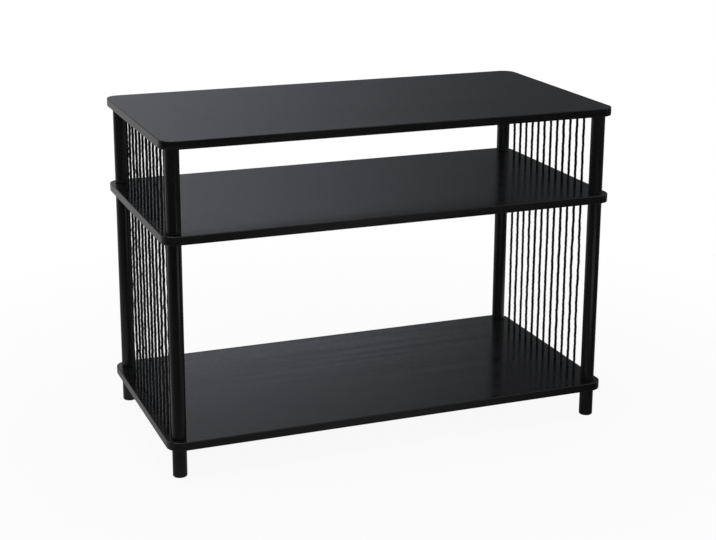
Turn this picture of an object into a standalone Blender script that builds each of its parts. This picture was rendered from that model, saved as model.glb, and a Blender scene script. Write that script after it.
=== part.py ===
"""Open TV stand: three rounded boards stacked on round posts, with a screen of upright cords at each end.

The stand comes apart as the real one does. A stud runs through each board into the posts above and below it,
and each cord runs from a blind hole in the bottom board, through the middle board, to a blind hole under the
top board. Metres, +Z up. The origin is on the floor under the middle of the stand, and the front faces -Y.
"""

import math

import bmesh
import bpy
from mathutils import Matrix

# Boards: three alike, with rounded corners and eased edges
BOARD_LENGTH = 1.000
BOARD_DEPTH = 0.510
BOARD_THICKNESS = 0.018
BOARD_CORNER_RADIUS = 0.030
BOARD_EDGE_EASE = 0.0015
BLIND_SKIN = 0.006  # wood left past the end of a blind hole

# Clear heights, from the floor up
FLOOR_CLEARANCE = 0.066
LOWER_BAY_HEIGHT = 0.416
UPPER_BAY_HEIGHT = 0.174

# Posts, and the feet in line with them
POST_DIAMETER = 0.030
POST_END_INSET = 0.027  # post axis to the end of the board
POST_EDGE_INSET = 0.029  # post axis to the long edge of the board
POST_END_EASE = 0.001
FOOT_RIM_RADIUS = 0.003

# Pads let into the undersides of the feet
PAD_THICKNESS = 0.003
PAD_PROUD = 0.001
PAD_EDGE_EASE = 0.0005
PAD_RIM_WIDTH = 0.001  # flat wood between the pad's recess and the foot's rounded rim

# Studs that join the posts through the boards
STUD_DIAMETER = 0.008
STUD_REACH = 0.025
STUD_END_EASE = 0.001
STUD_END_PLAY = 0.001  # depth of the bore past the stud's end

# Cords across the two ends
CORDS_PER_END = 12
CORD_DIAMETER = 0.006
CORD_POST_GAP = 0.046  # side of the corner post to the middle of the nearest cord

# Gap left wherever two pieces meet
SEAT_GAP = 0.0003

# Facets
CORNER_SEGMENTS = 8
EDGE_SEGMENTS = 2
RIM_SEGMENTS = 3
POST_SIDES = 28
STUD_SIDES = 14
CORD_BEVEL = 3
CORD_HOLE_SIDES = 10

# What follows from the sizes above
BOTTOM_BOARD_Z = FLOOR_CLEARANCE
MIDDLE_BOARD_Z = BOTTOM_BOARD_Z + BOARD_THICKNESS + LOWER_BAY_HEIGHT
TOP_BOARD_Z = MIDDLE_BOARD_Z + BOARD_THICKNESS + UPPER_BAY_HEIGHT
POST_X = BOARD_LENGTH / 2 - POST_END_INSET
POST_Y = BOARD_DEPTH / 2 - POST_EDGE_INSET
POST_RADIUS = POST_DIAMETER / 2
PAD_RECESS_RADIUS = POST_RADIUS - FOOT_RIM_RADIUS - PAD_RIM_WIDTH
PAD_RECESS_DEPTH = PAD_THICKNESS - PAD_PROUD + SEAT_GAP
BLIND_DEPTH = BOARD_THICKNESS - BLIND_SKIN
CORD_SPAN = 2 * (POST_Y - POST_RADIUS - CORD_POST_GAP)
CORD_PITCH = CORD_SPAN / (CORDS_PER_END - 1)

CORNERS = {
    "front_left": (-1, -1),
    "front_right": (1, -1),
    "back_left": (-1, 1),
    "back_right": (1, 1),
}
ENDS = {"left": -1, "right": 1}

# Finishes: base colour, roughness, metallic
FINISHES = {
    "black_stained_board": ((0.020, 0.020, 0.022, 1.0), 0.38, 0.0),
    "black_stained_post": ((0.012, 0.012, 0.013, 1.0), 0.42, 0.0),
    "black_twisted_cord": ((0.010, 0.010, 0.010, 1.0), 0.85, 0.0),
    "zinc_plated_steel": ((0.560, 0.570, 0.580, 1.0), 0.35, 1.0),
    "black_felt": ((0.015, 0.015, 0.015, 1.0), 0.95, 0.0),
}


def hole_radius(shank_diameter, sides):
    """Radius of a drilled polygon whose flats clear a round shank by the seat gap."""
    return (shank_diameter / 2 + SEAT_GAP) / math.cos(math.pi / sides)


def clear_scene():
    """Remove every object that the file holds."""
    for item in list(bpy.data.objects):
        bpy.data.objects.remove(item, do_unlink=True)


def new_collection(name):
    """Make a collection under the scene's own."""
    group = bpy.data.collections.new(name)
    bpy.context.scene.collection.children.link(group)
    return group


def new_finish(name):
    """Make the Principled material of one finish."""
    colour, roughness, metallic = FINISHES[name]
    finish = bpy.data.materials.new(name)
    finish.use_nodes = True
    shader = finish.node_tree.nodes["Principled BSDF"]
    shader.inputs["Base Color"].default_value = colour
    shader.inputs["Roughness"].default_value = roughness
    shader.inputs["Metallic"].default_value = metallic
    finish.diffuse_color = colour
    return finish


class Workshop:
    """Holds the collections and finishes, and adds pieces to them."""

    def __init__(self):
        self.parts = new_collection("tv_stand")
        self.drills = new_collection("tv_stand_drills")
        self.finishes = {name: new_finish(name) for name in FINISHES}
        self.base = bpy.data.objects.new("tv_stand_base", None)
        self.parts.objects.link(self.base)

    def add_piece(self, name, data, finish, place):
        """Add one physical piece at its place, under the stand's base."""
        piece = bpy.data.objects.new(name, data)
        piece.location = place
        piece.parent = self.base
        data.materials.append(self.finishes[finish])
        self.parts.objects.link(piece)
        return piece

    def add_drill(self, name, data):
        """Add a cutter that takes holes out of a board."""
        drill = bpy.data.objects.new(name, data)
        drill.hide_render = True
        drill.display_type = "WIRE"
        self.drills.objects.link(drill)
        return drill

    def add_turned(self, name, profile, sides, finish, place):
        """Add a turned piece: a profile of (radius, height), top to bottom, carried round Z."""
        mesh = bpy.data.meshes.new(name)
        rim = [(radius, 0.0, height) for radius, height in profile]
        mesh.from_pydata(rim, [(step, step + 1) for step in range(len(rim) - 1)], [])
        piece = self.add_piece(name, mesh, finish, place)
        lathe = piece.modifiers.new("lathe", "SCREW")
        lathe.steps = sides
        lathe.render_steps = sides
        lathe.use_merge_vertices = True
        lathe.merge_threshold = 0.00001
        return piece


def drilled_rods(name, rods):
    """One mesh of upright rods, each given as (x, y, bottom, top, radius, sides)."""
    shape = bmesh.new()
    for x, y, bottom, top, radius, sides in rods:
        bmesh.ops.create_cone(
            shape,
            cap_ends=True,
            segments=sides,
            radius1=radius,
            radius2=radius,
            depth=top - bottom,
            matrix=Matrix.Translation((x, y, (bottom + top) / 2)),
        )
    mesh = bpy.data.meshes.new(name)
    shape.to_mesh(mesh)
    shape.free()
    return mesh


def board_blank():
    """A board before drilling, centred on its own middle: a slab whose upright corners are rounded."""
    shape = bmesh.new()
    size = Matrix.Diagonal((BOARD_LENGTH, BOARD_DEPTH, BOARD_THICKNESS, 1.0))
    bmesh.ops.create_cube(shape, size=1.0, matrix=size)
    upright = [edge for edge in shape.edges if edge.verts[0].co.xy == edge.verts[1].co.xy]
    bmesh.ops.bevel(
        shape,
        geom=upright,
        offset=BOARD_CORNER_RADIUS,
        offset_type="OFFSET",
        segments=CORNER_SEGMENTS,
        profile=0.5,
        affect="EDGES",
    )
    mesh = bpy.data.meshes.new("board_blank")
    shape.to_mesh(mesh)
    shape.free()
    mesh.shade_smooth()
    mesh.set_sharp_from_angle(angle=math.pi / CORNER_SEGMENTS)
    return mesh


def cord_places():
    """The (end name, number, x, y) of every cord, counted from the front."""
    for end, side in ENDS.items():
        for count in range(CORDS_PER_END):
            yield end, count + 1, side * POST_X, count * CORD_PITCH - CORD_SPAN / 2


def add_board(shop, name, underside, stud_holes, cord_holes):
    """Add one board, drilled for its studs and its cords, each between a (bottom, top) pair of heights."""
    stud_bore = hole_radius(STUD_DIAMETER, STUD_SIDES)
    cord_bore = hole_radius(CORD_DIAMETER, CORD_HOLE_SIDES)
    rods = [
        (across * POST_X, along * POST_Y, *stud_holes, stud_bore, STUD_SIDES)
        for across, along in CORNERS.values()
    ]
    rods += [(x, y, *cord_holes, cord_bore, CORD_HOLE_SIDES) for _, _, x, y in cord_places()]
    drill = shop.add_drill(name + "_drill", drilled_rods(name + "_drill", rods))

    board = shop.add_piece(name, board_blank(), "black_stained_board", (0, 0, underside + BOARD_THICKNESS / 2))
    ease = board.modifiers.new("eased_edges", "BEVEL")
    ease.width = BOARD_EDGE_EASE
    ease.segments = EDGE_SEGMENTS
    ease.limit_method = "ANGLE"
    ease.angle_limit = math.pi / 4
    holes = board.modifiers.new("holes", "BOOLEAN")
    holes.operation = "DIFFERENCE"
    holes.solver = "EXACT"
    holes.object = drill
    return board


def bore_down(end_height):
    """Profile of a stud's bore in the upper end of a post, from its floor on the axis to its mouth."""
    bore = hole_radius(STUD_DIAMETER, POST_SIDES)
    floor = end_height - STUD_REACH - STUD_END_PLAY
    return [(0.0, floor), (bore, floor), (bore, end_height)]


def bore_up(end_height):
    """Profile of a stud's bore in the lower end of a post, from its mouth to its roof on the axis."""
    bore = hole_radius(STUD_DIAMETER, POST_SIDES)
    roof = end_height + STUD_REACH + STUD_END_PLAY
    return [(bore, end_height), (bore, roof), (0.0, roof)]


def post_profile(length):
    """Profile of a post with eased ends and a stud bore in each end; its foot is at height 0."""
    top_end = [(POST_RADIUS - POST_END_EASE, length), (POST_RADIUS, length - POST_END_EASE)]
    low_end = [(POST_RADIUS, POST_END_EASE), (POST_RADIUS - POST_END_EASE, 0.0)]
    return bore_down(length) + top_end + low_end + bore_up(0.0)


def foot_profile(length):
    """Profile of a foot: a stud bore above, a rounded rim and a recess for its pad below."""
    top_end = [(POST_RADIUS - POST_END_EASE, length), (POST_RADIUS, length - POST_END_EASE)]
    rim_centre = POST_RADIUS - FOOT_RIM_RADIUS
    turns = [math.pi / 2 * step / RIM_SEGMENTS for step in range(RIM_SEGMENTS + 1)]
    rim = [
        (rim_centre + FOOT_RIM_RADIUS * math.cos(turn), FOOT_RIM_RADIUS * (1 - math.sin(turn)))
        for turn in turns
    ]
    recess = [(PAD_RECESS_RADIUS, 0.0), (PAD_RECESS_RADIUS, PAD_RECESS_DEPTH), (0.0, PAD_RECESS_DEPTH)]
    return bore_down(length) + top_end + rim + recess


def pad_profile():
    """Profile of a foot's pad: a disc with its lower edge eased."""
    radius = PAD_RECESS_RADIUS - SEAT_GAP
    return [
        (0.0, PAD_THICKNESS),
        (radius, PAD_THICKNESS),
        (radius, PAD_EDGE_EASE),
        (radius - PAD_EDGE_EASE, 0.0),
        (0.0, 0.0),
    ]


def stud_profile(length):
    """Profile of a stud: a rod with both ends eased, standing on height 0."""
    radius = STUD_DIAMETER / 2
    return [
        (0.0, length),
        (radius - STUD_END_EASE, length),
        (radius, length - STUD_END_EASE),
        (radius, STUD_END_EASE),
        (radius - STUD_END_EASE, 0.0),
        (0.0, 0.0),
    ]


def add_boards(shop):
    """Add the three boards: studs stop under the top board's face, and cords in both outer boards."""
    bottom_through = (BOTTOM_BOARD_Z - BOARD_THICKNESS, BOTTOM_BOARD_Z + 2 * BOARD_THICKNESS)
    bottom_blind = (BOTTOM_BOARD_Z + BLIND_SKIN, BOTTOM_BOARD_Z + 2 * BOARD_THICKNESS)
    middle_through = (MIDDLE_BOARD_Z - BOARD_THICKNESS, MIDDLE_BOARD_Z + 2 * BOARD_THICKNESS)
    top_blind = (TOP_BOARD_Z - BOARD_THICKNESS, TOP_BOARD_Z + BLIND_DEPTH)
    add_board(shop, "bottom_board", BOTTOM_BOARD_Z, bottom_through, bottom_blind)
    add_board(shop, "middle_board", MIDDLE_BOARD_Z, middle_through, middle_through)
    add_board(shop, "top_board", TOP_BOARD_Z, top_blind, top_blind)


def add_corner(shop, corner, x, y):
    """Add what stands on one corner: pad, foot, posts and the studs between them."""
    foot_length = FLOOR_CLEARANCE - PAD_PROUD - SEAT_GAP
    lower_foot = BOTTOM_BOARD_Z + BOARD_THICKNESS + SEAT_GAP
    upper_foot = MIDDLE_BOARD_Z + BOARD_THICKNESS + SEAT_GAP
    lower_post = post_profile(LOWER_BAY_HEIGHT - 2 * SEAT_GAP)
    upper_post = post_profile(UPPER_BAY_HEIGHT - 2 * SEAT_GAP)

    shop.add_turned("foot_pad_" + corner, pad_profile(), POST_SIDES, "black_felt", (x, y, 0.0))
    shop.add_turned("foot_" + corner, foot_profile(foot_length), POST_SIDES, "black_stained_post", (x, y, PAD_PROUD))
    shop.add_turned("lower_post_" + corner, lower_post, POST_SIDES, "black_stained_post", (x, y, lower_foot))
    shop.add_turned("upper_post_" + corner, upper_post, POST_SIDES, "black_stained_post", (x, y, upper_foot))

    through = stud_profile(BOARD_THICKNESS + 2 * (STUD_REACH + SEAT_GAP))
    blind = stud_profile(STUD_REACH + BLIND_DEPTH - SEAT_GAP)
    steel = "zinc_plated_steel"
    shop.add_turned("foot_stud_" + corner, through, STUD_SIDES, steel, (x, y, BOTTOM_BOARD_Z - STUD_REACH))
    shop.add_turned("middle_stud_" + corner, through, STUD_SIDES, steel, (x, y, MIDDLE_BOARD_Z - STUD_REACH))
    shop.add_turned("top_stud_" + corner, blind, STUD_SIDES, steel, (x, y, TOP_BOARD_Z - STUD_REACH))


def add_cord(shop, name, x, y):
    """Add one upright cord, its ends seated in the blind holes of the outer boards."""
    cord = bpy.data.curves.new(name, "CURVE")
    cord.dimensions = "3D"
    cord.bevel_depth = CORD_DIAMETER / 2
    cord.bevel_resolution = CORD_BEVEL
    cord.use_fill_caps = True
    low_end = BOTTOM_BOARD_Z + BLIND_SKIN + SEAT_GAP
    high_end = TOP_BOARD_Z + BLIND_DEPTH - SEAT_GAP
    line = cord.splines.new("POLY")
    line.points.add(1)
    line.points[0].co = (0, 0, 0, 1)
    line.points[1].co = (0, 0, high_end - low_end, 1)
    return shop.add_piece(name, cord, "black_twisted_cord", (x, y, low_end))


def build_stand():
    """Build the whole stand."""
    clear_scene()
    shop = Workshop()
    add_boards(shop)
    for corner, (across, along) in CORNERS.items():
        add_corner(shop, corner, across * POST_X, along * POST_Y)
    for end, number, x, y in cord_places():
        add_cord(shop, f"end_cord_{end}_{number:02d}", x, y)
    bpy.context.view_layer.update()


build_stand()
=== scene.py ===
"""Looks of an open media stand: black stained boards on turned posts, with twisted cords across both ends.

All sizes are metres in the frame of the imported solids: +X along the stand, -Y to its front, +Z up.
"""
import logging
import math
from dataclasses import dataclass
from enum import Enum
from typing import Any, Mapping, Optional, Sequence, Union

import bmesh
import bpy
import numpy as np
from mathutils import Matrix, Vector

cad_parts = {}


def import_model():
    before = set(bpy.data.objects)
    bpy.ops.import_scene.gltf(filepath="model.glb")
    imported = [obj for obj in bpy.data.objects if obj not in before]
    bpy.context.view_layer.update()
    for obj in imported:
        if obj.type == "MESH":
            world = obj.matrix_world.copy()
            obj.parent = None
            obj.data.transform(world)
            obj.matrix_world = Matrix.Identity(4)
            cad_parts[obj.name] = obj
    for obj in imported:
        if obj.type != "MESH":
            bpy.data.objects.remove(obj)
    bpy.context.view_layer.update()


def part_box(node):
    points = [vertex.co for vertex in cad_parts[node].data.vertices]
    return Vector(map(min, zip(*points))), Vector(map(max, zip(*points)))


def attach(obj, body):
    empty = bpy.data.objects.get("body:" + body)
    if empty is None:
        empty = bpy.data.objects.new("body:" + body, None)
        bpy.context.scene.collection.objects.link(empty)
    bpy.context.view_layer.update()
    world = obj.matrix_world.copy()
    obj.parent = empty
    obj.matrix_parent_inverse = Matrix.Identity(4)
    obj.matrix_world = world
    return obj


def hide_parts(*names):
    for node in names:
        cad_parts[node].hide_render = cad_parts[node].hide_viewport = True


LOG = logging.getLogger("media_stand")
BODY = "root"
CORNERS = ("front_left", "front_right", "back_left", "back_right")
BOARDS = ("top_board", "middle_board", "bottom_board")
STUDS = ("top_stud", "middle_stud", "foot_stud")

EVEN = (1.0, 1.0, 1.0)
WHITE = (1.0, 1.0, 1.0)
FULL_TURN = 2.0 * math.pi
QUARTER_TURN = math.pi / 2
LEVEL_TOLERANCE = 1e-6

Colour = tuple[float, float, float]
Point = tuple[float, float, float]
Pair = tuple[float, float]
Value = Union["Wire", float, Sequence[float]]


class Wire:
    """A shader socket that takes part in Python arithmetic; each operator adds one Math node."""

    def __init__(self, bench: "NodeBench", socket: bpy.types.NodeSocket) -> None:
        """Keeps the socket and the bench that it belongs to."""
        self.bench = bench
        self.socket = socket

    def _math(self, operation: str, left: Value, right: Value) -> "Wire":
        """One Math node on two values."""
        return self.bench.node("ShaderNodeMath", {"operation": operation}, {0: left, 1: right})

    def __add__(self, other: Value) -> "Wire":
        """self + other."""
        return self._math("ADD", self, other)

    def __radd__(self, other: Value) -> "Wire":
        """other + self."""
        return self._math("ADD", other, self)

    def __sub__(self, other: Value) -> "Wire":
        """self - other."""
        return self._math("SUBTRACT", self, other)

    def __rsub__(self, other: Value) -> "Wire":
        """other - self."""
        return self._math("SUBTRACT", other, self)

    def __mul__(self, other: Value) -> "Wire":
        """self * other."""
        return self._math("MULTIPLY", self, other)

    def __rmul__(self, other: Value) -> "Wire":
        """other * self."""
        return self._math("MULTIPLY", other, self)


class NodeBench:
    """A shader tree that is built node by node."""

    def __init__(self, tree: bpy.types.NodeTree) -> None:
        """Empties the tree."""
        self.tree = tree
        tree.nodes.clear()

    @classmethod
    def for_material(cls, name: str) -> tuple["NodeBench", bpy.types.Material]:
        """Makes a new material.

        Args:
            name: the material's name.

        Returns:
            The bench of its tree, and the material.
        """
        material = bpy.data.materials.new(name)
        material.use_nodes = True
        return cls(material.node_tree), material

    def node(
        self,
        kind: str,
        settings: Optional[Mapping[str, Any]] = None,
        sockets: Optional[Mapping[Union[int, str], Value]] = None,
        output: Union[int, str] = 0,
    ) -> Wire:
        """Adds one node.

        Args:
            kind: the node's type.
            settings: properties of the node, set first.
            sockets: values or wires of its inputs, by name or number.
            output: the output that is passed on, by name or number.

        Returns:
            A wire from that output.
        """
        made = self.tree.nodes.new(kind)
        for name, value in (settings or {}).items():
            setattr(made, name, value)
        for key, value in (sockets or {}).items():
            socket = made.inputs[key]
            if isinstance(value, Wire):
                self.tree.links.new(value.socket, socket)
            else:
                socket.default_value = value
        return Wire(self, made.outputs[output])

    def noise(self, place: Wire, scale: float, detail: float, distortion: float = 0.0) -> Wire:
        """Fractal noise from about 0.25 to 0.75.

        Args:
            place: the coordinates that it reads.
            scale: how many of its largest cells fit in a unit.
            detail: how many finer layers it has.
            distortion: how far its cells are warped.

        Returns:
            The noise's value.
        """
        sockets = {"Vector": place, "Scale": scale, "Detail": detail, "Distortion": distortion}
        return self.node("ShaderNodeTexNoise", {"noise_dimensions": "3D"}, sockets)

    def ramp(self, value: Value, start: float, end: float, low: float = 0.0, high: float = 1.0) -> Wire:
        """A smooth step from low, where value is start, to high, where it is end."""
        sockets = {"Value": value, "From Min": start, "From Max": end, "To Min": low, "To Max": high}
        return self.node("ShaderNodeMapRange", {"interpolation_type": "SMOOTHSTEP"}, sockets)

    def blend(self, factor: Wire, first: Union[Wire, Colour], second: Union[Wire, Colour]) -> Wire:
        """A colour from first, at factor 0, to second, at 1; 6, 7 and 2 are the node's colour sockets."""
        start, end = (side if isinstance(side, Wire) else (*side, 1.0) for side in (first, second))
        return self.node("ShaderNodeMix", {"data_type": "RGBA"}, {0: factor, 6: start, 7: end}, 2)

    def stretched(self, scale: Sequence[float]) -> Wire:
        """The piece's own coordinates, scaled along each axis."""
        place = self.node("ShaderNodeTexCoord", output="Object")
        return self.node("ShaderNodeMapping", {"vector_type": "POINT"}, {"Vector": place, "Scale": scale})

    def bump(self, height: Wire, strength: float, distance: float) -> Wire:
        """A normal that is tilted by a height map."""
        sockets = {"Strength": strength, "Distance": distance, "Height": height}
        return self.node("ShaderNodeBump", None, sockets)

    def edge(self) -> Wire:
        """The edge value that the piece's mesh holds at each point."""
        return self.node("ShaderNodeAttribute", {"attribute_name": "edge"}, output="Fac")

    def ray(self, kind: str) -> Wire:
        """1 for light rays of one kind, such as Is Camera Ray, and 0 for the others."""
        return self.node("ShaderNodeLightPath", output=kind)

    def surface(self, sockets: Mapping[Union[int, str], Value]) -> None:
        """Ends a material in one Principled shader with these sockets."""
        self.end("ShaderNodeOutputMaterial", self.node("ShaderNodeBsdfPrincipled", None, sockets))

    def end(self, kind: str, shader: Wire) -> None:
        """Links a shader to an output node of that type."""
        made = self.tree.nodes.new(kind)
        self.tree.links.new(shader.socket, made.inputs["Surface"])


@dataclass(frozen=True)
class NoiseLayer:
    """A layer of noise: cells a metre, finer layers, the band of values that runs from 0 to 1, and warp."""

    scale: float
    detail: float
    band: Pair
    warp: float = 0.0

    def on(self, bench: NodeBench, stretch: Sequence[float] = EVEN) -> Wire:
        """The layer's value, from 0 to 1, with the piece's coordinates scaled along each axis by stretch."""
        cells = bench.noise(bench.stretched(stretch), self.scale, self.detail, self.warp)
        return bench.ramp(cells, *self.band)


class GrainRun(Enum):
    """Which way a wooden piece's fibres run; the value scales its pattern along X, Y and Z."""

    LENGTHWISE = (0.05, 1.0, 1.0)
    UPRIGHT = (1.0, 1.0, 0.05)


@dataclass(frozen=True)
class StainedWood:
    """Satin black stain over wood: a broad figure, fine fibres, open pores and rubbed edges.

    The tone, dulling and height values say how far each of them moves colour, roughness and relief.
    """

    name: str
    run: GrainRun
    deep: Colour
    pale: Colour
    rubbed: Colour
    roughness: float = 0.18
    figure: NoiseLayer = NoiseLayer(42.0, 4.0, (0.3, 0.7), warp=0.8)
    fibre: NoiseLayer = NoiseLayer(620.0, 2.0, (0.3, 0.7))
    pores: NoiseLayer = NoiseLayer(900.0, 1.0, (0.56, 0.66))
    wear: NoiseLayer = NoiseLayer(95.0, 3.0, (0.42, 0.66))
    pore_shortening: float = 2.2
    figure_tone: float = 0.55
    fibre_tone: float = 0.45
    pore_tone: float = 0.5
    even_rub: float = 0.35
    patchy_rub: float = 0.5
    figure_dulling: float = 0.065
    pore_dulling: float = 0.06
    edge_polish: float = 0.04
    figure_height: float = 0.3
    fibre_height: float = 0.55
    pore_depth: float = 0.8
    bump: float = 0.3
    relief: float = 0.00005

    def material(self) -> bpy.types.Material:
        """Builds the finish.

        Colour runs from deep to pale with the figure and fibres, and to rubbed on the eased edges.
        Pores are short, dark and sunk. Roughness follows figure, pores and edges.

        Returns:
            The material.
        """
        bench, made = NodeBench.for_material(self.name)
        grain = self.run.value
        figure, fibre = self.figure.on(bench, grain), self.fibre.on(bench, grain)
        short = [self.pore_shortening * axis if axis < 1.0 else axis for axis in grain]
        pore, edge = self.pores.on(bench, short), bench.edge()
        stain = bench.blend(self.figure_tone * figure + self.fibre_tone * fibre, self.deep, self.pale)
        pored = bench.blend(self.pore_tone * pore, stain, self.deep)
        rub = edge * (self.even_rub + self.patchy_rub * self.wear.on(bench))
        dulled = self.roughness + self.figure_dulling * (figure - 0.5) + self.pore_dulling * pore
        height = self.fibre_height * fibre - self.pore_depth * pore + self.figure_height * figure
        bench.surface({
            "Base Color": bench.blend(rub, pored, self.rubbed),
            "Roughness": dulled - self.edge_polish * edge,
            "Normal": bench.bump(height, self.bump, self.relief),
        })
        return made


@dataclass(frozen=True)
class TwistedCord:
    """Dull black cord: fine yarns that wind round each strand, and a little lint."""

    name: str
    deep: Colour
    pale: Colour
    roughness: float = 0.72
    index: float = 1.4
    yarns: float = 21.0
    yarn_lay: float = 0.011
    lint: NoiseLayer = NoiseLayer(900.0, 3.0, (0.35, 0.7))
    wear: NoiseLayer = NoiseLayer(60.0, 2.0, (0.35, 0.7))
    wear_stretch: Point = (1.0, 1.0, 0.4)
    yarn_tone: float = 0.35
    worn_tone: float = 0.4
    lint_tone: float = 0.25
    # Painted shade: how far the colour in the grooves between strands is darkened.
    groove_painted_shade: float = 0.85
    yarn_polish: float = 0.1
    lint_dulling: float = 0.08
    groove_dulling: float = 0.12
    yarn_height: float = 0.8
    lint_height: float = 0.3
    bump: float = 0.7
    relief: float = 0.00012

    def material(self) -> bpy.types.Material:
        """Builds the finish on the cord's own map, u round the cord and v along it in metres.

        The yarns are a sine of yarns * u + v / yarn_lay turns; noise dulls and lifts them in patches. The
        grooves between strands, where the edge value is 1, stay dull, and their colour is darkened as painted
        shade.

        Returns:
            The material.
        """
        bench, made = NodeBench.for_material(self.name)
        place = bench.node("ShaderNodeUVMap", {"uv_map": "round"})
        across, along = (bench.node("ShaderNodeSeparateXYZ", None, {0: place}, axis) for axis in "XY")
        turns = (across * self.yarns + along * (1.0 / self.yarn_lay)) * FULL_TURN
        yarn = 0.5 + 0.5 * bench.node("ShaderNodeMath", {"operation": "SINE"}, {0: turns})
        lint, groove = self.lint.on(bench), bench.edge()
        worn = self.yarn_tone + self.worn_tone * self.wear.on(bench, self.wear_stretch)
        # Painted shade: the colour is darkened in the grooves between strands.
        tone = (yarn * worn + self.lint_tone * lint) * (1.0 - self.groove_painted_shade * groove)
        dulled = self.roughness - self.yarn_polish * yarn + self.lint_dulling * lint
        height = self.yarn_height * yarn + self.lint_height * lint
        bench.surface({
            "Base Color": bench.blend(tone, self.deep, self.pale),
            "Roughness": dulled + self.groove_dulling * groove,
            "IOR": self.index,
            "Normal": bench.bump(height, self.bump, self.relief),
        })
        return made


@dataclass(frozen=True)
class ZincPlate:
    """Bright zinc on steel: brushed rings and a duller film in patches."""

    name: str
    bright: Colour
    dull: Colour
    roughness: float = 0.32
    film: NoiseLayer = NoiseLayer(220.0, 3.0, (0.35, 0.68))
    ring_stretch: Point = (0.2, 0.2, 6.0)
    ring_scale: float = 700.0
    film_dulling: float = 0.18
    ring_dulling: float = 0.1
    bump: float = 0.2
    relief: float = 0.00003

    def material(self) -> bpy.types.Material:
        """Builds the finish.

        Returns:
            The material.
        """
        bench, made = NodeBench.for_material(self.name)
        film = self.film.on(bench)
        rings = bench.noise(bench.stretched(self.ring_stretch), self.ring_scale, detail=1.0)
        bench.surface({
            "Base Color": bench.blend(film, self.bright, self.dull),
            "Roughness": self.roughness + self.film_dulling * film + self.ring_dulling * rings,
            "Metallic": 1.0,
            "Normal": bench.bump(rings, self.bump, self.relief),
        })
        return made


@dataclass(frozen=True)
class PressedFelt:
    """Black pressed felt: matted hairs in clumps."""

    name: str
    deep: Colour
    pale: Colour
    roughness: float = 0.9
    sheen: float = 0.25
    hairs: NoiseLayer = NoiseLayer(2600.0, 4.0, (0.36, 0.66), warp=1.6)
    hair_stretch: Point = (1.0, 0.35, 1.0)
    clumps: NoiseLayer = NoiseLayer(420.0, 3.0, (0.35, 0.68))
    hair_tone: float = 0.6
    clump_tone: float = 0.4
    hair_dulling: float = 0.08
    hair_height: float = 0.7
    clump_height: float = 0.5
    bump: float = 0.9
    relief: float = 0.0003

    def material(self) -> bpy.types.Material:
        """Builds the finish.

        Returns:
            The material.
        """
        bench, made = NodeBench.for_material(self.name)
        hairs, clumps = self.hairs.on(bench, self.hair_stretch), self.clumps.on(bench)
        tone = self.hair_tone * hairs + self.clump_tone * clumps
        height = self.hair_height * hairs + self.clump_height * clumps
        bench.surface({
            "Base Color": bench.blend(tone, self.deep, self.pale),
            "Roughness": self.roughness + self.hair_dulling * hairs,
            "Sheen Weight": self.sheen,
            "Normal": bench.bump(height, self.bump, self.relief),
        })
        return made


def angles(columns: int) -> np.ndarray:
    """Evenly spaced angles of one turn, in radians."""
    return np.arange(columns) * (FULL_TURN / columns)


def ringed(centre: Sequence[float], radius: np.ndarray, angle: np.ndarray, height: np.ndarray) -> np.ndarray:
    """Rings of points round an upright axis: P = centre + radius * (cos, sin)(angle), at height.

    Args:
        centre: x and y of the axis, one pair or a pair a row.
        radius: each row's radius, rows by 1, or each point's, rows by columns.
        angle: each column's angle, or each point's, rows by columns.
        height: each row's height.

    Returns:
        The points, rows by columns by 3.
    """
    axis = np.broadcast_to(centre, (len(height), 2))
    x, y = axis[:, :1] + radius * np.cos(angle), axis[:, 1:] + radius * np.sin(angle)
    return np.stack([x, y, np.broadcast_to(height[:, None], x.shape)], axis=-1)


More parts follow.
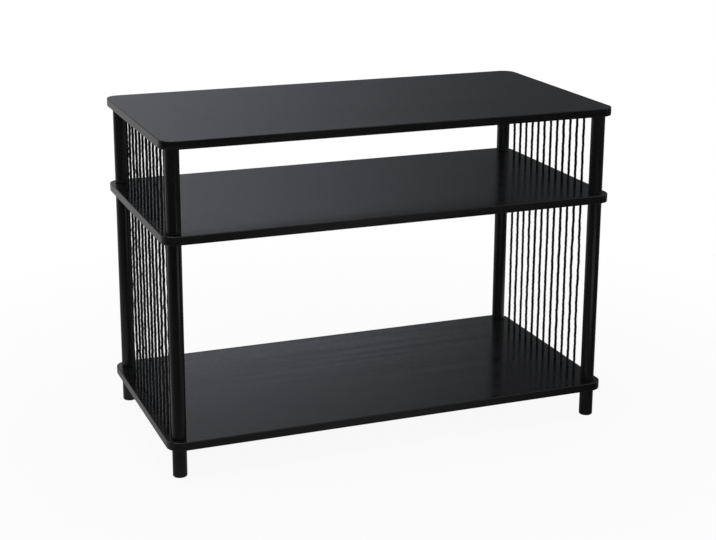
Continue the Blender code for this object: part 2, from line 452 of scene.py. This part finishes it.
class Skin:
    """Gathers grids of points into one closed mesh, with an edge value a point and a map round and along."""

    def __init__(self) -> None:
        """Starts empty."""
        self.points: list[np.ndarray] = []
        self.edges: list[np.ndarray] = []
        self.quads: list[np.ndarray] = []
        self.quad_maps: list[np.ndarray] = []
        self.fans: list[np.ndarray] = []
        self.total = 0

    def _keep(self, points: np.ndarray, edge: Optional[np.ndarray]) -> np.ndarray:
        """Keeps points and their edge values.

        Args:
            points: any array of points.
            edge: their edge values, or None for 0.

        Returns:
            The points' numbers, in the array's shape.
        """
        flat = points.reshape(-1, 3)
        self.points.append(flat)
        self.edges.append(np.zeros(len(flat)) if edge is None else edge.reshape(-1))
        numbers = self.total + np.arange(len(flat))
        self.total += len(flat)
        return numbers.reshape(points.shape[:-1])

    def band(self, points: np.ndarray, along: np.ndarray, edge: Optional[np.ndarray] = None) -> np.ndarray:
        """Adds a grid whose columns close into rings.

        Args:
            points: the grid, rows by columns by 3.
            along: each row's place on the map, in metres.
            edge: each point's edge value, rows by columns.

        Returns:
            The points' numbers, rows by columns.
        """
        numbers = self._keep(points, edge)
        rows, columns = numbers.shape
        after = np.roll(numbers, -1, axis=1)
        quads = np.stack([numbers[:-1], after[:-1], after[1:], numbers[1:]], axis=-1)
        u = np.broadcast_to(np.arange(columns) / columns, (rows - 1, columns))
        v = np.broadcast_to(along[:, None], (rows, columns))
        step = 1.0 / columns
        corners = [(u, v[:-1]), (u + step, v[:-1]), (u + step, v[1:]), (u, v[1:])]
        self.quads.append(quads.reshape(-1, 4))
        self.quad_maps.append(np.stack([np.stack(c, axis=-1) for c in corners], axis=2).reshape(-1, 2))
        return numbers

    def pole(self, ring: np.ndarray, point: Sequence[float]) -> None:
        """Closes a ring with a fan of triangles to one point."""
        centre = self._keep(np.array([point], float), None)[0]
        self.fans.append(np.stack([ring, np.roll(ring, -1), np.full_like(ring, centre)], axis=-1))

    def turned(self, profile: np.ndarray, centre: Sequence[float], columns: int, edge: np.ndarray) -> None:
        """Adds a closed turned body.

        P(s, a) = centre + r(s) * (cos a, sin a) at height z(s); the profile starts and ends on the axis.

        Args:
            profile: radius and height of each point, the first and the last on the axis.
            centre: x and y of the axis.
            columns: how many points a turn has.
            edge: each profile point's edge value.
        """
        side = profile[1:-1]
        grid = ringed(centre, side[:, :1], angles(columns), side[:, 1])
        along = np.concatenate([[0.0], np.cumsum(np.linalg.norm(np.diff(side, axis=0), axis=1))])
        rings = self.band(grid, along, np.repeat(edge[1:-1, None], columns, axis=1))
        self.pole(rings[0], (centre[0], centre[1], profile[0, 1]))
        self.pole(rings[-1], (centre[0], centre[1], profile[-1, 1]))

    def piece(self, name: str, sharp: float, flats: Sequence[Pair] = ()) -> bpy.types.Object:
        """Makes the mesh object.

        Args:
            name: the object's name.
            sharp: edges that bend more than this many degrees are shaded sharp.
            flats: height and upward sign of each flat face that is filled between open rims.

        Returns:
            The object, in the scene, with its faces pointing out.
        """
        mesh = bpy.data.meshes.new(name)
        quads = np.concatenate(self.quads)
        fans = np.concatenate(self.fans) if self.fans else np.zeros((0, 3), int)
        mesh.from_pydata(np.concatenate(self.points).tolist(), [], quads.tolist() + fans.tolist())
        maps = np.concatenate([*self.quad_maps, np.zeros((fans.size, 2))])
        mesh.uv_layers.new(name="round").data.foreach_set("uv", maps.astype(np.float32).ravel())
        edge = mesh.attributes.new("edge", "FLOAT", "POINT")
        edge.data.foreach_set("value", np.concatenate(self.edges).astype(np.float32))
        work = bmesh.new()
        work.from_mesh(mesh)
        for height, sign in flats:
            open_edges = [e for e in work.edges if e.is_boundary]
            rims = [e for e in open_edges if abs(e.verts[0].co.z - height) < LEVEL_TOLERANCE]
            bmesh.ops.triangle_fill(work, use_beauty=True, edges=rims, normal=(0.0, 0.0, sign))
        bmesh.ops.recalc_face_normals(work, faces=work.faces)
        work.to_mesh(mesh)
        work.free()
        mesh.shade_smooth()
        mesh.set_sharp_from_angle(angle=math.radians(sharp))
        made = bpy.data.objects.new(name, mesh)
        bpy.context.scene.collection.objects.link(made)
        return made


def quarter(centre: Sequence[float], radius: float, start: float, steps: int) -> np.ndarray:
    """Points of a quarter circle.

    Q(t) = centre + radius * (cos, sin)(start + t * 90 degrees), for t from 0 to 1.

    Args:
        centre: the circle's centre.
        radius: its radius.
        start: the first point's direction in degrees.
        steps: how many chords the quarter has.

    Returns:
        The points, steps + 1 by 2.
    """
    angle = np.radians(start + np.linspace(0.0, 90.0, steps + 1))
    return np.stack([centre[0] + radius * np.cos(angle), centre[1] + radius * np.sin(angle)], axis=-1)


def axis_of(node: str) -> tuple[float, float, float]:
    """x and y of an upright round node's axis, and its radius."""
    low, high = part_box(node)
    return (low.x + high.x) / 2, (low.y + high.y) / 2, (high.x - low.x) / 2


def span_of(node: str) -> Pair:
    """Lowest and highest height of a node."""
    low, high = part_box(node)
    return low.z, high.z


def settle(piece: bpy.types.Object, node: str, material: bpy.types.Material) -> None:
    """Puts a finished piece in a solid's place.

    Args:
        piece: the finished piece.
        node: the solid that it stands for.
        material: its material.
    """
    piece.data.materials.append(material)
    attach(piece, BODY)
    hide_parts(node)
    LOG.info("%s: %d faces", piece.name, len(piece.data.polygons))


@dataclass
class BoardStack:
    """The three boards, with eased rims, and the holes that take the studs and cords."""

    finish: StainedWood
    corner_radius: float = 0.030
    edge_ease: float = 0.0015
    hold: float = 0.0005
    corner_steps: int = 16
    ease_steps: int = 6
    hole_play: float = 0.0003
    mouth_ease: float = 0.0003
    hole_columns: int = 28
    sharp: float = 35.0

    def rim_profile(self, low: float, high: float) -> tuple[np.ndarray, np.ndarray]:
        """Section of a board's rim: flat, quarter round, upright side, quarter round, flat.

        Args:
            low: the underside's height.
            high: the top's height.

        Returns:
            Inset and height of each point, and its edge value, 1 on the middle of the quarter rounds.
        """
        ease, hold = self.edge_ease, self.hold
        upper = quarter((ease, high - ease), ease, 90.0, self.ease_steps)
        lower = quarter((ease, low + ease), ease, 180.0, self.ease_steps)
        flat_top, flat_under = [(ease + hold, high)], [(ease + hold, low)]
        side = [(0.0, high - ease - hold), (0.0, low + ease + hold)]
        profile = np.concatenate([flat_top, upper, side, lower, flat_under])
        worn = np.sin(np.linspace(0.0, math.pi, self.ease_steps + 1))
        edge = np.concatenate([[0.0], worn, [0.0, 0.0], worn, [0.0]])
        return profile, edge

    def add_rim(self, skin: Skin, node: str) -> None:
        """Adds a board's rim.

        P(s, a) = corner centre + (R - inset(s)) * (cos a, sin a) at height z(s): a rounded oblong whose four
        corners share one turn of a.

        Args:
            skin: the mesh in the making.
            node: the board's solid.
        """
        low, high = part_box(node)
        profile, edge = self.rim_profile(low.z, high.z)
        turn = np.linspace(0.0, 1.0, self.corner_steps + 1)
        quadrant = np.repeat(np.arange(4), self.corner_steps + 1)
        angle = (quadrant + np.tile(turn, 4)) * QUARTER_TURN
        side = (quadrant + 0.5) * QUARTER_TURN
        reach = np.array([(high.x - low.x) / 2, (high.y - low.y) / 2]) - self.corner_radius
        middle = np.array([(high.x + low.x) / 2, (high.y + low.y) / 2])
        centre = middle + np.sign(np.stack([np.cos(side), np.sin(side)], axis=-1)) * reach
        away = np.stack([np.cos(angle), np.sin(angle)], axis=-1)
        flat = centre + (self.corner_radius - profile[:, 0])[:, None, None] * away
        height = np.broadcast_to(profile[:, 1][:, None, None], (*flat.shape[:2], 1))
        grid = np.concatenate([flat, height], axis=-1)
        skin.band(grid, profile[:, 1], np.repeat(edge[:, None], grid.shape[1], axis=1))

    def add_hole(self, skin: Skin, node: str, rod: str) -> None:
        """Adds the hole of a rod that reaches into a board; it is open where the rod leaves the board.

        P(s, a) = axis + r(s) * (cos a, sin a), with an eased mouth at each open end.

        Args:
            skin: the mesh in the making.
            node: the board's solid.
            rod: the stud's or cord's solid.
        """
        low, high = span_of(node)
        rod_low, rod_high = span_of(rod)
        if rod_high <= low or rod_low >= high:
            return
        x, y, radius = axis_of(rod)
        bore = radius + self.hole_play
        opens_below, opens_above = rod_low < low, rod_high > high
        mouth = bore + self.mouth_ease
        below, above = [(bore, rod_low - self.hole_play)], [(bore, rod_high + self.hole_play)]
        if opens_below:
            below = [(mouth, low), (bore, low + self.mouth_ease)]
        if opens_above:
            above = [(bore, high - self.mouth_ease), (mouth, high)]
        profile = np.array(below + above)
        grid = ringed((x, y), profile[:, :1], angles(self.hole_columns), profile[:, 1])
        rings = skin.band(grid, profile[:, 1])
        if not opens_below:
            skin.pole(rings[0], (x, y, profile[0, 1]))
        if not opens_above:
            skin.pole(rings[-1], (x, y, profile[-1, 1]))

    def build(self, node: str, rods: Sequence[str]) -> bpy.types.Object:
        """Builds one board.

        Args:
            node: the board's solid.
            rods: every stud and cord of the stand.

        Returns:
            The board's object.
        """
        skin = Skin()
        self.add_rim(skin, node)
        for rod in rods:
            self.add_hole(skin, node, rod)
        low, high = span_of(node)
        return skin.piece(f"{node}_finished", self.sharp, [(high, 1.0), (low, -1.0)])

    def dress(self, rods: Sequence[str]) -> None:
        """Builds all boards and gives them their finish.

        Args:
            rods: every stud and cord of the stand.
        """
        material = self.finish.material()
        for node in BOARDS:
            settle(self.build(node, rods), node, material)


@dataclass
class CornerColumns:
    """The turned pieces at the four corners: posts, feet, their pads, and the threaded studs between them."""

    finish: StainedWood
    felt: PressedFelt
    zinc: ZincPlate
    end_ease: float = 0.001
    worn_share: float = 0.98
    foot_round: float = 0.003
    hold: float = 0.0004
    bore_play: float = 0.0003
    ease_steps: int = 5
    columns: int = 64
    sharp: float = 35.0
    pad_softness: float = 0.25
    pad_rings: int = 6
    pad_sharp: float = 50.0
    thread_pitch: float = 0.00125
    thread_depth: float = 0.00068
    thread_slope: float = 1.6
    thread_crest: float = 0.3
    thread_columns: int = 20
    thread_rows: int = 7
    stud_chamfer: float = 0.001
    stud_sharp: float = 60.0

    def bored_end(
        self, radius: float, height: float, up: float, bore: float, depth: float, ease: float
    ) -> np.ndarray:
        """Section of a post's end, from the axis at the bore's bottom out to the post's side.

        Args:
            radius: the post's radius.
            height: the end's height.
            up: 1 for an upper end, -1 for a lower one.
            bore: the bore's radius.
            depth: the bore's depth.
            ease: the radius of the end's rounded edge.

        Returns:
            Radius and height of each point.
        """
        inner = [(0.0, -depth), (bore, -depth), (bore, -self.hold), (bore + self.hold, 0.0)]
        face, side = (radius - ease - self.hold, 0.0), (radius, -ease - self.hold)
        arc = quarter((radius - ease, -ease), ease, 0.0, self.ease_steps)[::-1]
        section = np.concatenate([inner, [face], arc, [side]])
        return section * (1.0, up) + (0.0, height)

    def turn(self, node: str, profile: np.ndarray) -> bpy.types.Object:
        """Turns a wooden piece; its edge value is 1 where the profile bends from face to side.

        Args:
            node: the piece's solid.
            profile: radius and height of each point.

        Returns:
            The piece's object.
        """
        x, y, radius = axis_of(node)
        low, high = span_of(node)
        worn = self.end_ease * self.worn_share
        near_end = np.minimum(profile[:, 1] - low, high - profile[:, 1]) < worn
        edge = (near_end & (profile[:, 0] > radius - worn)).astype(float)
        skin = Skin()
        skin.turned(profile, (x, y), self.columns, edge)
        return skin.piece(f"{node}_finished", self.sharp)

    def build_post(self, node: str, lower_stud: str, upper_stud: str) -> bpy.types.Object:
        """Builds a post with a stud bore in each end.

        Args:
            node: the post's solid.
            lower_stud: the stud in its lower end.
            upper_stud: the stud in its upper end.

        Returns:
            The post's object.
        """
        radius = axis_of(node)[2]
        low, high = span_of(node)
        bore = axis_of(lower_stud)[2] + self.bore_play
        up_depth = high - span_of(upper_stud)[0] + self.bore_play
        down_depth = span_of(lower_stud)[1] - low + self.bore_play
        upper = self.bored_end(radius, high, 1.0, bore, up_depth, self.end_ease)
        lower = self.bored_end(radius, low, -1.0, bore, down_depth, self.end_ease)
        return self.turn(node, np.concatenate([upper, lower[::-1]]))

    def build_foot(self, node: str, stud: str, pad: str) -> bpy.types.Object:
        """Builds a foot: a stud bore above, a rounded rim and a shallow seat for the pad below.

        Args:
            node: the foot's solid.
            stud: the stud in its upper end.
            pad: the pad in its lower end.

        Returns:
            The foot's object.
        """
        radius = axis_of(node)[2]
        low, high = span_of(node)
        depth = high - span_of(stud)[0] + self.bore_play
        bore = axis_of(stud)[2] + self.bore_play
        seat = axis_of(pad)[2] + self.bore_play
        upper = self.bored_end(radius, high, 1.0, bore, depth, self.end_ease)
        seat_depth = span_of(pad)[1] - low + self.bore_play
        lower = self.bored_end(radius, low, -1.0, seat, seat_depth, self.foot_round)
        return self.turn(node, np.concatenate([upper, lower[::-1]]))

    def build_pad(self, node: str) -> bpy.types.Object:
        """Builds a felt pad: a disc with soft edges.

        Args:
            node: the pad's solid.

        Returns:
            The pad's object.
        """
        x, y, radius = axis_of(node)
        low, high = span_of(node)
        soft = (high - low) * self.pad_softness
        rim = quarter((radius - soft, low + soft), soft, -90.0, self.ease_steps)
        top = quarter((radius - soft, high - soft), soft, 0.0, self.ease_steps)
        inner = np.linspace(0.0, radius - soft, self.pad_rings)[:-1]
        under = np.stack([inner, np.full_like(inner, low)], axis=-1)
        over = np.stack([inner[::-1], np.full_like(inner, high)], axis=-1)
        profile = np.concatenate([under, rim, top, over])
        skin = Skin()
        skin.turned(profile, (x, y), self.columns, np.zeros(len(profile)))
        return skin.piece(f"{node}_finished", self.pad_sharp)

    def build_stud(self, node: str) -> bpy.types.Object:
        """Builds a threaded stud.

        P(z, a) = axis + r * (cos a, sin a). r falls from the crest by the thread's depth times a flattened
        tooth of z / pitch - a / 360 degrees, and is cut to a cone at both ends.

        Args:
            node: the stud's solid.

        Returns:
            The stud's object.
        """
        x, y, radius = axis_of(node)
        low, high = span_of(node)
        rows = int((high - low) / self.thread_pitch * self.thread_rows)
        height = np.linspace(low, high, rows)
        angle = angles(self.thread_columns)
        phase = (height[:, None] - low) / self.thread_pitch - angle / FULL_TURN
        wave = np.abs(2.0 * (phase - np.floor(phase)) - 1.0)
        tooth = np.clip(self.thread_slope * wave - self.thread_crest, 0.0, 1.0)
        cone = radius - self.stud_chamfer + np.minimum(height - low, high - height)
        reach = np.minimum(radius - self.thread_depth * tooth, cone[:, None])
        skin = Skin()
        rings = skin.band(ringed((x, y), reach, angle, height), height)
        skin.pole(rings[0], (x, y, low))
        skin.pole(rings[-1], (x, y, high))
        return skin.piece(f"{node}_finished", self.stud_sharp)

    def dress(self) -> None:
        """Builds the pieces of every corner and gives them their finishes."""
        wood, felt, zinc = self.finish.material(), self.felt.material(), self.zinc.material()
        for corner in CORNERS:
            top, middle, foot = (f"{stud}_{corner}" for stud in STUDS)
            upper, lower = f"upper_post_{corner}", f"lower_post_{corner}"
            leg, pad = f"foot_{corner}", f"foot_pad_{corner}"
            settle(self.build_post(upper, middle, top), upper, wood)
            settle(self.build_post(lower, foot, middle), lower, wood)
            settle(self.build_foot(leg, foot, pad), leg, wood)
            settle(self.build_pad(pad), pad, felt)
            for stud in (top, middle, foot):
                settle(self.build_stud(stud), stud, zinc)


class StandEnd(Enum):
    """The two ends of the stand; the value seeds the cords' play."""

    LEFT = 11
    RIGHT = 29


@dataclass
class CordScreen:
    """Twelve upright cords across one end, each of three strands in a loose, slightly uneven twist.

    Unevenness, slack, swell and the plays are shares.
    """

    end: StandEnd
    count: int = 12
    strands: int = 3
    lay: float = 0.0385
    lay_play: float = 0.15
    strand_radius: float = 0.00214
    strand_offset: float = 0.00076
    groove_depth: float = 0.00045
    groove_half: float = math.radians(18.0)
    unevenness: float = 0.11
    slack: float = 0.04
    swell: float = 0.03
    swell_wave: float = 0.057
    corkscrew: float = 0.0002
    wander: float = 0.00035
    wander_waves: tuple[float, ...] = (0.062, 0.18, 0.30)
    wander_play: Pair = (0.4, 1.0)
    row_step: float = 0.0022
    columns: int = 36
    sharp: float = 60.0
    settle_length: float = 0.08
    grip_length: float = 0.02

    def node(self, number: int) -> str:
        """Name of one cord's solid, counted from the front."""
        return f"end_cord_{self.end.name.lower()}_{number:02d}"

    def nodes(self) -> list[str]:
        """Names of all cords' solids."""
        return [self.node(number) for number in range(1, self.count + 1)]

    def free(self, height: np.ndarray, length: float) -> np.ndarray:
        """How free a cord is at each height: 0 where a board holds it, 1 away from the boards.

        Args:
            height: the rows' heights.
            length: how far from a board the cord is fully free.

        Returns:
            One value a row, a smooth step over that length.
        """
        spans = [span_of(board) for board in BOARDS]
        gaps = [np.maximum(np.maximum(low - height, height - high), 0.0) for low, high in spans]
        near = np.clip(np.minimum.reduce(gaps) / length, 0.0, 1.0)
        return near * near * (3.0 - 2.0 * near)

    def drift(self, height: np.ndarray, play: np.random.Generator) -> np.ndarray:
        """Sideways play of a cord's axis: a few long waves of chance phase, nil where a board holds it.

        d(z) = free(z) * sum of size * sin(2 pi z / wave + phase) along X and Y; size grows with wave^0.5.

        Args:
            height: the rows' heights.
            play: the seeded chance.

        Returns:
            The offset of each row, rows by 2.
        """
        waves = np.array(self.wander_waves)
        phase = play.uniform(0.0, FULL_TURN, (2, len(waves)))
        size = self.wander * np.sqrt(waves / waves.max()) * play.uniform(*self.wander_play, (2, len(waves)))
        swing = np.sin(FULL_TURN * height[:, None, None] / waves + phase) * size
        return self.free(height, self.settle_length)[:, None] * swing.sum(axis=-1)

    def grooves(self, around: np.ndarray) -> np.ndarray:
        """How deep each angle lies in a groove: (1 - (d / half)^2)^2, where d is the angle from its middle.

        Args:
            around: angles round the cord, from a strand.

        Returns:
            One value an angle, 1 midway between two strands and 0 on them.
        """
        pitch = FULL_TURN / self.strands
        off = np.abs(around % pitch - pitch / 2)
        return np.clip(1.0 - (off / self.groove_half) ** 2, 0.0, 1.0) ** 2

    def build(self, number: int, play: np.random.Generator) -> bpy.types.Object:
        """Builds one cord.

        P(z, a) = axis(z) + r(z, a) * (cos, sin)(a + 2 pi z / lay + start). r is the outermost of the
        strands' circles, offset * cos d + sqrt(radius^2 - offset^2 * sin^2 d), where d is the angle from a
        strand, less the groove between strands, times a swell that grows by the slack where no board grips
        the cord.

        Args:
            number: the cord's place, counted from the front.
            play: the seeded chance.

        Returns:
            The cord's object.
        """
        node = self.node(number)
        x, y, _ = axis_of(node)
        low, high = span_of(node)
        height = np.linspace(low, high, int((high - low) / self.row_step))
        start = play.uniform(0.0, FULL_TURN)
        lay = self.lay * (1.0 + self.lay_play * play.uniform(-1.0, 1.0))
        twist = FULL_TURN * height / lay + start
        around = angles(self.columns)
        girth = self.strand_radius * (1.0 + self.unevenness * play.uniform(-1.0, 1.0, self.strands))
        ripple = np.sin(FULL_TURN * (height / self.swell_wave + play.uniform(0.0, 1.0)))
        swell = 1.0 + self.slack * self.free(height, self.grip_length) + self.swell * ripple
        from_strand = around[:, None] - angles(self.strands)
        inside = girth ** 2 - (self.strand_offset * np.sin(from_strand)) ** 2
        lobes = self.strand_offset * np.cos(from_strand) + np.sqrt(np.maximum(inside, 0.0))
        outer = np.where(np.cos(from_strand) > 0.0, lobes, 0.0).max(axis=1)
        sunk = self.grooves(around)
        reach = (outer - self.groove_depth * sunk) * swell[:, None]
        turned = np.stack([np.cos(twist), np.sin(twist)], axis=-1)
        screw = self.corkscrew * self.free(height, self.settle_length)[:, None] * turned
        centre = np.array([x, y]) + self.drift(height, play) + screw
        skin = Skin()
        grid = ringed(centre, reach, around + twist[:, None], height)
        # The groove depth is kept as the edge value; the cord material paints shade into the grooves from it.
        rings = skin.band(grid, height, np.broadcast_to(sunk, reach.shape))
        skin.pole(rings[0], (*centre[0], low))
        skin.pole(rings[-1], (*centre[-1], high))
        return skin.piece(f"{node}_twisted", self.sharp)

    def dress(self, material: bpy.types.Material) -> None:
        """Builds all cords of this end.

        Args:
            material: the cords' material.
        """
        play = np.random.default_rng(self.end.value)
        for number in range(1, self.count + 1):
            settle(self.build(number, play), self.node(number), material)


@dataclass(frozen=True)
class Lamp:
    """An oblong soft lamp that shines from a place to a target."""

    name: str
    place: Point
    target: Point
    size: Pair
    radiance: float

    def light(self) -> None:
        """Adds the lamp; its power is radiance * pi * area."""
        data = bpy.data.lights.new(self.name, "AREA")
        data.shape = "RECTANGLE"
        data.size, data.size_y = self.size
        data.energy = self.radiance * math.pi * self.size[0] * self.size[1]
        lamp = bpy.data.objects.new(self.name, data)
        bpy.context.scene.collection.objects.link(lamp)
        aim = np.array(self.target) - np.array(self.place)
        yaw, pitch = math.atan2(-aim[0], aim[1]), math.atan2(aim[2], math.hypot(aim[0], aim[1]))
        turn = Matrix.Rotation(yaw, 4, "Z") @ Matrix.Rotation(QUARTER_TURN + pitch, 4, "X")
        lamp.matrix_world = Matrix.Translation(self.place) @ turn
        lamp.visible_camera = False


@dataclass(frozen=True)
class Panel:
    """A soft panel that stands far off, as satin faces mirror it.

    Headings and spreads are in degrees, from +Y towards +X. A band limits the panel in height, by the sine of
    its middle's angle above the floor and its half width.
    """

    heading: float
    spread: float
    glow: float
    band: Optional[Pair] = None

    def seen(self, bench: NodeBench, heading: Wire, rise: Wire) -> Wire:
        """Brightness of the panel: glow at its middle, falling smoothly to 0 at its spread on both sides.

        Args:
            bench: the tree.
            heading: a direction's heading in radians.
            rise: the sine of that direction's angle above the floor.

        Returns:
            The brightness.
        """
        turned = heading - math.radians(self.heading)
        away = bench.node("ShaderNodeMath", {"operation": "PINGPONG"}, {0: turned, 1: math.pi})
        glow = bench.ramp(away, math.radians(self.spread), 0.0, 0.0, self.glow)
        if self.band is None:
            return glow
        middle, half = self.band
        off = bench.node("ShaderNodeMath", {"operation": "ABSOLUTE"}, {0: rise - middle})
        return glow * bench.ramp(off, half, 0.0)


@dataclass(frozen=True)
class Pool:
    """A soft pool of light on the floor, as upright satin faces mirror it."""

    x: float
    y: float
    reach: float
    glow: float

    def seen(self, bench: NodeBench, place: Wire) -> Wire:
        """Brightness of the pool: glow at its middle, falling smoothly to 0 at its reach.

        Args:
            bench: the tree.
            place: a place on the floor.

        Returns:
            The brightness.
        """
        sockets = {0: place, 1: (self.x, self.y, 0.0)}
        away = bench.node("ShaderNodeVectorMath", {"operation": "DISTANCE"}, sockets, "Value")
        return bench.ramp(away, self.reach, 0.0, 0.0, self.glow)


@dataclass
class Studio:
    """Camera, white floor, soft lamps, and the panels and pools of light that the satin faces mirror."""

    lens_pixels: float = 1544.84
    image_size: tuple[int, int] = (716, 540)
    sight_row: float = 205.0
    sensor: float = 36.0
    place: Point = (-1.199, -3.0895, 1.3461)
    yaw: float = 0.37157
    pitch: float = 0.25635
    roll: float = 0.0041
    floor_half: float = 9.0
    floor_white: float = 0.82
    fleck_scale: float = 300.0
    fleck_tone: float = 0.02
    # Share of white glow near the stand and far from it; the lower share near it paints a faint grey shade
    # round the stand.
    floor_veil: Pair = (0.93, 1.0)
    veil_reach: Pair = (0.6, 1.7)
    fill: float = 0.44
    dim: float = 0.083
    floor_dim: float = 0.04
    far_glow: float = 0.35
    far_reach: Pair = (4.5, 7.0)
    cool: Colour = (0.89, 0.93, 1.0)
    panels: tuple[Panel, ...] = (
        Panel(3.0, 26.0, 0.325),
        Panel(16.5, 16.4, 0.70, band=(0.326, 0.05)),
        Panel(-62.0, 44.0, 0.8),
        Panel(-130.0, 50.0, 0.4),
        Panel(180.0, 45.0, 0.4),
        Panel(135.0, 50.0, 0.5),
        Panel(85.0, 40.0, 0.4),
    )
    pools: tuple[Pool, ...] = (
        Pool(-1.45, 2.0, 3.4, 0.44),
        Pool(-1.4, 5.0, 3.0, 0.26),
        Pool(-0.7, 0.12, 0.55, 0.22),
        Pool(0.38, -1.3, 0.62, 1.15),
        Pool(0.0, -0.3, 0.7, 0.16),
        Pool(0.85, 0.2, 0.6, 0.6),
        Pool(2.4, 1.4, 1.8, 0.4),
    )
    lamps: tuple[Lamp, ...] = (
        Lamp("overhead", (-0.4, 0.3, 2.9), (0.0, 0.0, 0.5), (2.4, 1.8), 2.4),
        Lamp("right_strip", (2.6, -1.4, 1.2), (0.0, 0.0, 0.4), (0.7, 1.8), 0.8),
    )

    def set_camera(self) -> None:
        """Adds the camera: turned right by yaw, down by pitch, aside by roll, and its sight line raised."""
        data = bpy.data.cameras.new("camera")
        data.sensor_width = self.sensor
        data.lens = self.lens_pixels / self.image_size[0] * self.sensor
        data.shift_y = (self.sight_row - self.image_size[1] / 2) / self.image_size[0]
        camera = bpy.data.objects.new("camera", data)
        bpy.context.scene.collection.objects.link(camera)
        turn = Matrix.Rotation(-self.yaw, 4, "Z") @ Matrix.Rotation(QUARTER_TURN - self.pitch, 4, "X")
        camera.matrix_world = Matrix.Translation(self.place) @ turn @ Matrix.Rotation(self.roll, 4, "Z")
        bpy.context.scene.camera = camera

    def walls(self, bench: NodeBench) -> Wire:
        """How bright the room is in a direction from the stand: dim, and brighter where panels stand.

        Args:
            bench: the world's tree.

        Returns:
            The brightness.
        """
        direction = bench.node("ShaderNodeTexCoord", output="Generated")
        x, y, rise = (bench.node("ShaderNodeSeparateXYZ", None, {0: direction}, axis) for axis in "XYZ")
        heading = bench.node("ShaderNodeMath", {"operation": "ARCTAN2"}, {0: x, 1: y})
        return sum((panel.seen(bench, heading, rise) for panel in self.panels), self.dim)

    def set_world(self) -> None:
        """White to the camera and through glass; reflections see the panels, and matt faces an even fill."""
        world = bpy.data.worlds.new("studio")
        bpy.context.scene.world = world
        world.use_nodes = True
        bench = NodeBench(world.node_tree)
        camera, through = bench.ray("Is Camera Ray"), bench.ray("Is Transmission Ray")
        glossy, matt = bench.ray("Is Glossy Ray"), bench.ray("Is Diffuse Ray")
        strength = camera + through + glossy * self.walls(bench) + matt * self.fill
        colour = bench.blend(glossy, WHITE, self.cool)
        shader = bench.node("ShaderNodeBackground", None, {"Color": colour, "Strength": strength})
        bench.end("ShaderNodeOutputWorld", shader)

    def set_floor(self) -> None:
        """Adds the floor: P(u, v) = (u, v, 0), white paper that keeps a veiled shadow round the stand; its
        white glow thins near the stand, which also paints a faint grey shade there.
        """
        half = self.floor_half
        mesh = bpy.data.meshes.new("floor")
        corners = [(-half, -half, 0), (half, -half, 0), (half, half, 0), (-half, half, 0)]
        mesh.from_pydata(corners, [], [(0, 1, 2, 3)])
        floor = bpy.data.objects.new("floor", mesh)
        bpy.context.scene.collection.objects.link(floor)
        bench, material = NodeBench.for_material("white_paper")
        glossy = bench.ray("Is Glossy Ray")
        shown = bench.ray("Is Camera Ray") + bench.ray("Is Transmission Ray")
        place = bench.node("ShaderNodeTexCoord", output="Object")
        away = bench.node("ShaderNodeVectorMath", {"operation": "LENGTH"}, {0: place}, "Value")
        even = bench.ramp(away, *self.far_reach, self.floor_dim, self.far_glow)
        mirrored = sum((pool.seen(bench, place) for pool in self.pools), even)
        tone = self.floor_white + self.fleck_tone * bench.noise(place, self.fleck_scale, detail=2.0)
        paper = bench.node("ShaderNodeBsdfDiffuse", None, {"Color": tone})
        white = bench.node("ShaderNodeEmission", None, {"Color": shown + glossy * mirrored})
        # Painted shade: the white glow is weaker close to the stand, so the floor there looks a little grey
        # even outside the real shadow.
        veil = shown * bench.ramp(away, *self.veil_reach, *self.floor_veil) + glossy
        shader = bench.node("ShaderNodeMixShader", None, {0: veil, 1: paper, 2: white})
        bench.end("ShaderNodeOutputMaterial", shader)
        mesh.materials.append(material)

    def set_up(self) -> None:
        """Sets the whole studio up."""
        bpy.context.scene.view_settings.view_transform = "Standard"
        self.set_camera()
        self.set_world()
        self.set_floor()
        for lamp in self.lamps:
            lamp.light()


def main() -> None:
    """Loads the frame, sets the studio up and dresses the stand."""
    logging.basicConfig(level=logging.INFO, format="%(name)s: %(message)s")
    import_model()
    Studio().set_up()
    cord = TwistedCord("black_twisted_cord_finish", deep=(0.004, 0.004, 0.004), pale=(0.016, 0.016, 0.016))
    screens = [CordScreen(end) for end in StandEnd]
    cord_material = cord.material()
    for screen in screens:
        screen.dress(cord_material)
    board = StainedWood(
        "black_stained_board_finish", GrainRun.LENGTHWISE,
        deep=(0.0016, 0.0016, 0.0017), pale=(0.0088, 0.0088, 0.009), rubbed=(0.012, 0.011, 0.010),
    )
    post = StainedWood(
        "black_stained_post_finish", GrainRun.UPRIGHT,
        deep=(0.002, 0.002, 0.0021), pale=(0.005, 0.005, 0.0052), rubbed=(0.010, 0.009, 0.008),
        roughness=0.24,
    )
    felt = PressedFelt("black_felt_finish", deep=(0.006, 0.006, 0.006), pale=(0.024, 0.024, 0.024))
    zinc = ZincPlate("zinc_finish", bright=(0.62, 0.63, 0.64), dull=(0.42, 0.43, 0.44))
    studs = [f"{stud}_{corner}" for stud in STUDS for corner in CORNERS]
    rods = studs + [node for screen in screens for node in screen.nodes()]
    BoardStack(board).dress(rods)
    CornerColumns(post, felt, zinc).dress()


if __name__ == "__main__":
    main()
